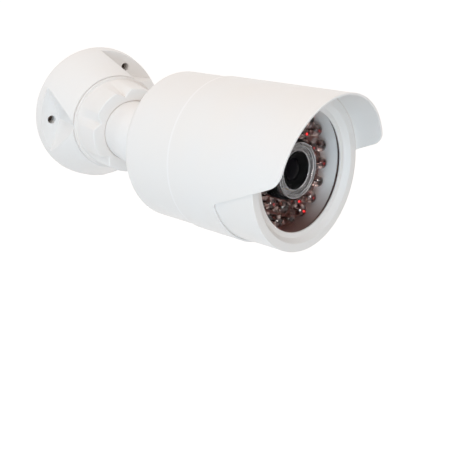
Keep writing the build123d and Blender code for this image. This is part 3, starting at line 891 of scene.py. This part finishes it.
class BULLET_OT_sunshield(Operator):
    """Sunshield ring whose upper half runs forward as a visor"""

    bl_idname = "bullet_camera.sunshield"
    bl_label = "Sunshield"

    def execute(self, context):
        s = context.scene.casing_sizes
        back, tip, shield_r = reach("sunshield", CAMERA)
        inner_r = shield_r - s.shield_wall
        band_front = back + s.back_highlight_band
        piece = turned("shield_visor", [
            (inner_r, back), (shield_r, back), (shield_r, band_front),
            (shield_r, s.ring_front), (inner_r, s.ring_front),
        ], 2 * ROUND)
        self.pull_visor(piece, s.ring_front, self.side_view(s, tip, shield_r))
        self.mark_edges(piece, shield_r, band_front, s.shield_edge / s.shield_inner_edge)
        soften(piece, s.shield_inner_edge, limit="WEIGHT")
        # The front-facing edge faces and the outer back band take a paler white: a painted highlight
        outer = shield_r - s.shield_wall / 3
        pale = [
            face.index for face in piece.data.polygons
            if face.normal.z > 0.3 or (face.center.z < band_front and hypot(*face.center.xy) > outer)
        ]
        hand_over(piece, CAMERA, "camera", "white_plastic", "sunshield")
        piece.data.materials.append(finish("white_painted_highlight"))
        for index in pale:
            piece.data.polygons[index].material_index = 1
        return {"FINISHED"}

    def mark_edges(self, piece, shield_r, band_front, outer_share):
        """Give the inner edges their full rounding, and the outer edges a share of it."""
        work_on(piece)
        mode("EDIT")
        bpy.ops.mesh.select_mode(type="EDGE")
        for share, outer in ((outer_share, True), (1.0, False)):
            choose("DESELECT")
            mode("OBJECT")
            for edge in piece.data.edges:
                one, two = (piece.data.vertices[index].co for index in edge.vertices)
                radii = (hypot(one.x, one.y), hypot(two.x, two.y))
                around = hypot(one.x - two.x, one.y - two.y) > NEAR and abs(radii[0] - radii[1]) < NEAR
                band = abs(one.z - band_front) < NEAR
                edge.select = around and not band and (min(radii) > shield_r - 10 * NEAR) == outer
            mode("EDIT")
            bpy.ops.transform.edge_bevelweight(value=share)
        mode("OBJECT")

    def side_view(self, s, tip, shield_r):
        """Front edge from below the axis to the top, as heights and stations."""
        below = (s.ring_front, -2 * shield_r)
        heel = (s.ring_front, s.visor_heel_height)
        corner = (s.visor_corner, s.visor_corner_height)
        top = (tip, shield_r)
        edge = [
            below,
            *rounded(below, heel, corner, s.visor_heel_round),
            *rounded(heel, corner, top, s.visor_corner_round, 20),
            top,
        ]
        return [(height, station) for station, height in edge]

    def pull_visor(self, piece, ring_front, edge):
        """Pull the ring's front points forward to the edge of the visor, height by height."""
        rows = {}
        for vertex in piece.data.vertices:
            if abs(vertex.co.z - ring_front) < NEAR:
                rows.setdefault(round(vertex.co.y / FINE), []).append(vertex.index)
        start_points(piece)
        for row in rows.values():
            pull = between(edge, piece.data.vertices[row[0]].co.y) - ring_front
            if pull > FINE:
                with_points(piece, row, bpy.ops.transform.translate, value=(0, 0, pull))


class BULLET_OT_bezel(Operator):
    """Front bezel with its stepped mouth, the white wall behind it and the window"""

    bl_idname = "bullet_camera.bezel"
    bl_label = "Bezel and window"

    def execute(self, context):
        s = context.scene.casing_sizes
        back, front, _ = reach("front_bezel", CAMERA)
        window_back, window_front, window_r = reach("window", CAMERA)
        _, _, shield_r = reach("sunshield", CAMERA)
        bezel_r = shield_r - s.shield_wall - s.seam
        shoulder = s.ring_front - s.bezel_lap
        spigot_r = shield_r - s.shield_wall - s.housing_wall - 1.5 * FITTED
        bore_r = window_r + FITTED
        ledge = front - s.ledge_depth
        bezel = turned("bezel_ring", [
            (bore_r, back), (spigot_r, back), (spigot_r, shoulder), (bezel_r, shoulder), (bezel_r, front),
            (s.mouth_r, front), (s.ledge_r, ledge), (s.sight_r, ledge), (s.sight_r, window_front),
            (bore_r, window_front),
        ], ROUND)
        soften(bezel, s.bezel_edge)
        hand_over(bezel, CAMERA, "camera", "white_plastic", "front_bezel")
        wall_back, wall_front, wall_r = reach("spacer_ring", CAMERA)
        inner_r = s.sight_r + 1.0 * MM
        lip_r, lip_front = inner_r + 0.3 * MM, window_back - 0.45 * MM
        wall = turned("inner_wall", [
            (inner_r, wall_back), (wall_r, wall_back), (wall_r, wall_front),
            (lip_r, wall_front), (lip_r, lip_front), (inner_r, lip_front),
        ], ROUND)
        soften(wall, 0.05 * MM, 1)
        # The inner wall takes a paler copy of the white plastic, with painted shade at its foot
        hand_over(wall, CAMERA, "camera", "white_plastic", "spacer_ring", look="inner_white")
        # The gasket takes the dark clear silicone finish: painted shade of the gap behind the sight lip
        gasket = turned("gasket_ring", [
            (lip_r, wall_front), (window_r, wall_front), (window_r, window_back), (lip_r, window_back),
        ], ROUND)
        shade(gasket)
        hand_over(gasket, CAMERA, "camera", "clear_silicone", "window_gasket")
        pane_edge = [(window_r, window_back), (window_r, window_front)]
        pane = turned("window_pane", pane_edge, ROUND, hollow=False)
        soften(pane, 0.2 * MM, 1)
        hand_over(pane, CAMERA, "camera", "window_clear", "window")
        return {"FINISHED"}


class BULLET_OT_lamps(Operator):
    """Infrared lamps with their cups and glowing dies, and the light sensor"""

    bl_idname = "bullet_camera.lamps"
    bl_label = "Infrared lamps"

    def execute(self, context):
        s = context.scene.optics_sizes
        _, board_front, _ = reach("led_board", CAMERA)
        # Each ring's first lamp, then the places whose dies show a bright and a faint glow;
        # the light sensor takes the inner ring's place 0
        rings = [
            ("outer", s.outer_places, s.outer_phase, s.outer_ring_r, 0, (13,), (0, 14, 16)),
            ("inner", s.inner_places, s.inner_phase, s.inner_ring_r, 1, (6, 10), (4, 9)),
        ]
        for ring, places, phase, distance, first, bright, faint in rings:
            full = range(first, places)
            for make, kind, slot, look, used, nodes in (
                (self.dome, "domes", "lamp_clear", "lamp_clear", full, [ring + "_lamps"]),
                (self.cup, "cups", "steel", "dark_cup", full, ()),
                (self.die, "bright_dies", "lamp_clear", "bright_die", bright, ()),
                (self.die, "faint_dies", "lamp_clear", "faint_die", faint, ()),
            ):
                one = make(s, board_front)
                shade(one)
                group = copies_around(one, f"{ring}_lamp_{kind}", places, phase, distance, used)
                hand_over(group, CAMERA, "camera", slot, *nodes, look=look)
        self.sensor(s)
        return {"FINISHED"}

    def dome(self, s, board_front):
        foot = board_front + s.lamp_flange
        return turned("lamp_dome", [
            (s.lamp_flange_r, board_front), (s.lamp_flange_r, foot), (s.lamp_r, foot),
            *arc((0, foot + s.lamp_barrel), s.lamp_r, 0, 86, 9),
        ], LAMP_ROUND, hollow=False)

    def cup(self, s, board_front):
        """Cup on its post, seen through the epoxy."""
        rim = board_front + s.lamp_flange + s.cup_lift
        floor = rim - s.cup_depth
        return turned("lamp_cup", [
            (0.3 * s.cup_r, board_front + 0.2 * MM), (0.35 * s.cup_r, floor - s.cup_depth),
            (s.cup_r, floor), (1.08 * s.cup_r, rim), (0.98 * s.cup_r, rim),
            (0.5 * s.cup_r, floor + 0.1 * MM),
        ], 16, hollow=False)

    def die(self, s, board_front):
        """Square die with a domed drop of resin, on the cup's floor."""
        floor = board_front + s.lamp_flange + s.cup_lift - s.cup_depth + 0.12 * MM
        half = s.die_side / 2
        foot_r = half * sqrt(2)
        return turned("lamp_die", [
            (foot_r, floor), (foot_r, floor + 0.4 * half), (half, floor + 0.8 * half),
        ], 8, hollow=False)

    def sensor(self, s):
        back, front, _ = reach("light_sensor", CAMERA)
        one = turned("cell", [
            (s.cell_r, back), (s.cell_r, front - 0.5 * MM), (0.92 * s.cell_r, front - 0.2 * MM),
            (0.75 * s.cell_r, front),
        ], 40, hollow=False)
        shade(one)
        cell = copies_around(one, "light_cell", 1, s.inner_phase, s.inner_ring_r, (0,))
        hand_over(cell, CAMERA, "camera", "sensor_cell", "light_sensor")


class BULLET_OT_lens(Operator):
    """Clear shroud, foam sleeve, lens barrel and front glass"""

    bl_idname = "bullet_camera.lens"
    bl_label = "Lens and shroud"

    def execute(self, context):
        s = context.scene.optics_sizes
        back, front, shroud_r = reach("lens_shroud", CAMERA)
        rim_r, ledge = shroud_r - s.shroud_rim, front - s.shroud_step
        shroud = turned("shroud_tube", [
            (s.shroud_bore_r, back), (shroud_r, back), (shroud_r, front), (rim_r, front),
            (rim_r, ledge), (s.shroud_bore_r, ledge),
        ], MIDDLE_ROUND)
        soften(shroud, 0.55 * MM, 4)
        hand_over(shroud, CAMERA, "camera", "shroud_clear", "lens_shroud")
        # Pale beads on the shroud's edges: painted highlights
        edges = joined("shroud_edges", [
            self.edge_line(shroud_r - 0.25 * MM, front),
            self.edge_line(rim_r + 0.1 * MM, front),
            self.edge_line(s.shroud_bore_r + 0.3 * MM, ledge),
        ])
        hand_over(edges, CAMERA, "camera", "shroud_clear", look="shroud_edge")
        foam_back, foam_front, foam_r = reach("lens_foam", CAMERA)
        bore_r = shroud_r + FITTED
        foam = turned("foam_ring", [
            (bore_r, foam_back), (foam_r, foam_back), (foam_r, foam_front), (bore_r, foam_front),
        ], MIDDLE_ROUND)
        soften(foam, 0.4 * MM)
        hand_over(foam, CAMERA, "camera", "black_rubber", "lens_foam")
        self.barrel(s)
        return {"FINISHED"}

    def edge_line(self, radius, station):
        """Fine pale bead on one of the shroud's edges, which carries a painted highlight."""
        half = 0.14 * MM
        bead = turned("edge_line", [
            (radius - half, station - half), (radius + half, station - half),
            (radius, station + 0.4 * half),
        ], MIDDLE_ROUND)
        shade(bead)
        return bead

    def barrel(self, s):
        back, front, head_r = reach("lens_barrel", CAMERA)
        mouth = front - s.lens_rim_depth
        glass_r = s.lens_glass_r + FITTED
        head_back = front - s.lens_head
        barrel = turned("lens_tube", [
            (s.lens_thread_r, back), (s.lens_thread_r, head_back), (head_r, head_back), (head_r, front),
            (head_r - 0.5 * MM, front), (0.5 * (head_r + glass_r), front - 0.6 * s.lens_rim_depth),
            (glass_r, mouth), (glass_r, mouth - 1.0 * MM),
        ], LENS_ROUND, hollow=False)
        soften(barrel, 0.12 * MM, 2)
        hand_over(barrel, CAMERA, "camera", "black_metal", "lens_barrel")
        ball_r = (s.lens_glass_r**2 + s.lens_bulge**2) / (2 * s.lens_bulge)
        rim = 90 - degrees(atan2(s.lens_glass_r, ball_r - s.lens_bulge))
        glass = turned("lens_eye", [
            (s.lens_glass_r, mouth - 0.95 * MM),
            *arc((0, mouth + s.lens_bulge - ball_r), ball_r, rim, 89, 14),
        ], LENS_ROUND, hollow=False)
        shade(glass)
        hand_over(glass, CAMERA, "camera", "lens_glass", "front_lens")


class BULLET_OT_inner_pieces(Operator):
    """Finishes of the boards, seals and small pieces that stay as solids"""

    bl_idname = "bullet_camera.inner_pieces"
    bl_label = "Inner pieces"

    def execute(self, context):
        replaced = {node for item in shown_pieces() for node in item.get("replaces", "").split(",") if node}
        for part in frame["record"]["subparts"]:
            if part["node"] not in replaced:
                self.dress(frame["nodes"][part["node"]], finish(part["material_slot"]))
        return {"FINISHED"}

    def dress(self, item, material):
        if not item.material_slots:
            item.data.materials.append(material)
        for slot in item.material_slots:
            slot.material = material


class BULLET_OT_stage(Operator):
    """Pale floor, soft lamps, even sky and the view"""

    bl_idname = "bullet_camera.stage"
    bl_label = "Stage"

    def execute(self, context):
        s = context.scene.stage_settings
        context.scene.view_settings.view_transform = "Standard"
        self.floor(s)
        self.hole_shade(context.scene.bracket_sizes)
        self.sky(context, s)
        self.lamp("key_lamp", (-0.7, -0.7, 0.9), 1.0, s.key_power, (1.0, 0.85, 0.76))
        self.lamp("low_lamp", (-0.75, -0.75, 0.0), 0.5, s.low_power, (0.58, 0.80, 0.96))
        spark = self.lamp("spark_lamp", (-0.42, -0.75, 0.45), 0.5, s.spark_power, (1.0, 1.0, 1.0))
        clear = bpy.data.collections.new("clear_pieces")
        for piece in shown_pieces():
            if piece.name.endswith("_domes") or piece.name == "shroud_tube":
                clear.objects.link(piece)
        spark.light_linking.receiver_collection = clear
        spark.visible_diffuse = False
        self.view(context, s)
        return {"FINISHED"}

    def floor(self, s):
        """Pale floor whose lit tone is lifted to white in the view, so that it keeps its shadow."""
        work_on()
        bpy.ops.mesh.primitive_plane_add(size=6.0, location=(0, 0, -s.floor_drop))
        floor = name_piece("floor")
        bpy.ops.object.transform_apply()
        made = Finish("pale_floor", Base_Color=(0.65, 0.65, 0.65, 1), Roughness=0.9)
        tree, pale = made.tree, made.shader.outputs["BSDF"]
        lit = made.fed("AddShader", pale, 0)
        tree.links.new(add_node(tree, "Emission", Strength=s.floor_glow).outputs["Emission"], lit.inputs[1])
        self.show(tree, pale, lit.outputs["Shader"], "Material Output")
        floor.data.materials.append(made.material)
        floor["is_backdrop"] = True

    def hole_shade(self, s):
        """Dark discs behind the base's screw holes, backdrop pieces that put painted shade into the holes."""
        one = turned("shade", [(s.screw_hole_r, -0.3 * MM), (s.screw_hole_r, 0.0)], 24, hollow=False)
        discs = copies_around(one, "hole_shade", 3, s.pocket_phase, s.screw_circle_r, range(3))
        put(discs, WALL).data.materials.append(finish("hole_shade"))
        discs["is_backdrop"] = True

    def show(self, tree, usual, seen, output):
        """Let rays of the view, of gloss and of glass see one shader, and all others the usual one."""
        path = add_node(tree, "LightPath")
        total = path.outputs["Is Camera Ray"]
        for label in ("Is Glossy Ray", "Is Transmission Ray"):
            most = add_node(tree, "Math")
            most.operation = "MAXIMUM"
            tree.links.new(total, most.inputs[0])
            tree.links.new(path.outputs[label], most.inputs[1])
            total = most.outputs["Value"]
        mix = add_node(tree, "MixShader")
        for socket, source in enumerate((total, usual, seen)):
            tree.links.new(source, mix.inputs[socket])
        tree.links.new(mix.outputs["Shader"], tree.nodes[output].inputs["Surface"])

    def sky(self, context, s):
        """Even light that grows stronger and warmer towards the top."""
        world = bpy.data.worlds.new("even_sky")
        context.scene.world = world
        world.use_nodes = True
        tree = world.node_tree
        wire = tree.links.new
        light = tree.nodes["Background"]
        height = add_node(tree, "SeparateXYZ")
        wire(add_node(tree, "TexCoord").outputs["Generated"], height.inputs["Vector"])
        clamp = add_node(tree, "Clamp")
        wire(height.outputs["Z"], clamp.inputs["Value"])
        above = clamp.outputs["Result"]
        tone = add_node(tree, "Mix")
        tone.data_type = "RGBA"
        tone.inputs[6].default_value = (1, 1, 1, 1)
        tone.inputs[7].default_value = (1.06, 0.98, 0.93, 1)
        wire(above, tone.inputs["Factor"])
        wire(tone.outputs[2], light.inputs["Color"])
        strength = add_node(tree, "Math")
        strength.operation = "MULTIPLY_ADD"
        strength.inputs[1].default_value = s.sky_rise
        strength.inputs[2].default_value = s.sky
        wire(above, strength.inputs[0])
        wire(strength.outputs["Value"], light.inputs["Strength"])
        white = add_node(tree, "Background", Color=(1, 1, 1, 1))
        self.show(tree, light.outputs["Background"], white.outputs["Background"], "World Output")

    def lamp(self, name, place, size, power, tint):
        work_on()
        bpy.ops.object.light_add(type="AREA", location=place)
        lamp = name_piece(name)
        lamp.data.size = size
        lamp.data.energy = power
        lamp.data.color = tint
        aim = Vector((0.02, -0.1, 0)) - Vector(place)
        lamp.rotation_euler = aim.to_track_quat("-Z", "Y").to_euler()
        return lamp

    def view(self, context, s):
        work_on()
        bpy.ops.object.camera_add(location=s.eye)
        camera = name_piece("view")
        camera.data.sensor_width = 36.0
        camera.data.lens = s.focal
        camera.data.clip_start = 0.01
        look = Matrix.Rotation(-s.azimuth, 4, "Z") @ Matrix.Rotation(pi / 2 - s.dip, 4, "X")
        camera.rotation_euler = (look @ Matrix.Rotation(-s.roll, 4, "Z")).to_euler()
        context.scene.camera = camera


STEPS = (
    BULLET_OT_wall_base,
    BULLET_OT_locking_collar,
    BULLET_OT_dome,
    BULLET_OT_stem,
    BULLET_OT_housing,
    BULLET_OT_sunshield,
    BULLET_OT_bezel,
    BULLET_OT_lamps,
    BULLET_OT_lens,
    BULLET_OT_inner_pieces,
    BULLET_OT_stage,
)
SETTINGS = {
    "bracket_sizes": BracketSizes,
    "casing_sizes": CasingSizes,
    "optics_sizes": OpticsSizes,
    "finish_colours": FinishColours,
    "stage_settings": StageSettings,
}


class BULLET_PT_panel(Panel):
    """Buttons for each step of dressing the camera"""

    bl_label = "Bullet camera"
    bl_space_type = "VIEW_3D"
    bl_region_type = "UI"
    bl_category = "Bullet camera"

    def draw(self, context):
        for step in STEPS:
            self.layout.operator(step.bl_idname)
        for group in SETTINGS:
            box = self.layout.box()
            for label in getattr(context.scene, group).__annotations__:
                box.prop(getattr(context.scene, group), label)


def register():
    for group, kind in SETTINGS.items():
        bpy.utils.register_class(kind)
        setattr(bpy.types.Scene, group, PointerProperty(type=kind))
    for step in (*STEPS, BULLET_PT_panel):
        bpy.utils.register_class(step)


def unregister():
    for step in (BULLET_PT_panel, *reversed(STEPS)):
        bpy.utils.unregister_class(step)
    for group, kind in reversed(SETTINGS.items()):
        delattr(bpy.types.Scene, group)
        bpy.utils.unregister_class(kind)


def main():
    register()
    for step in STEPS:
        area, name = step.bl_idname.split(".")
        getattr(getattr(bpy.ops, area), name)()
    work_on()


if __name__ == "__main__":
    main()
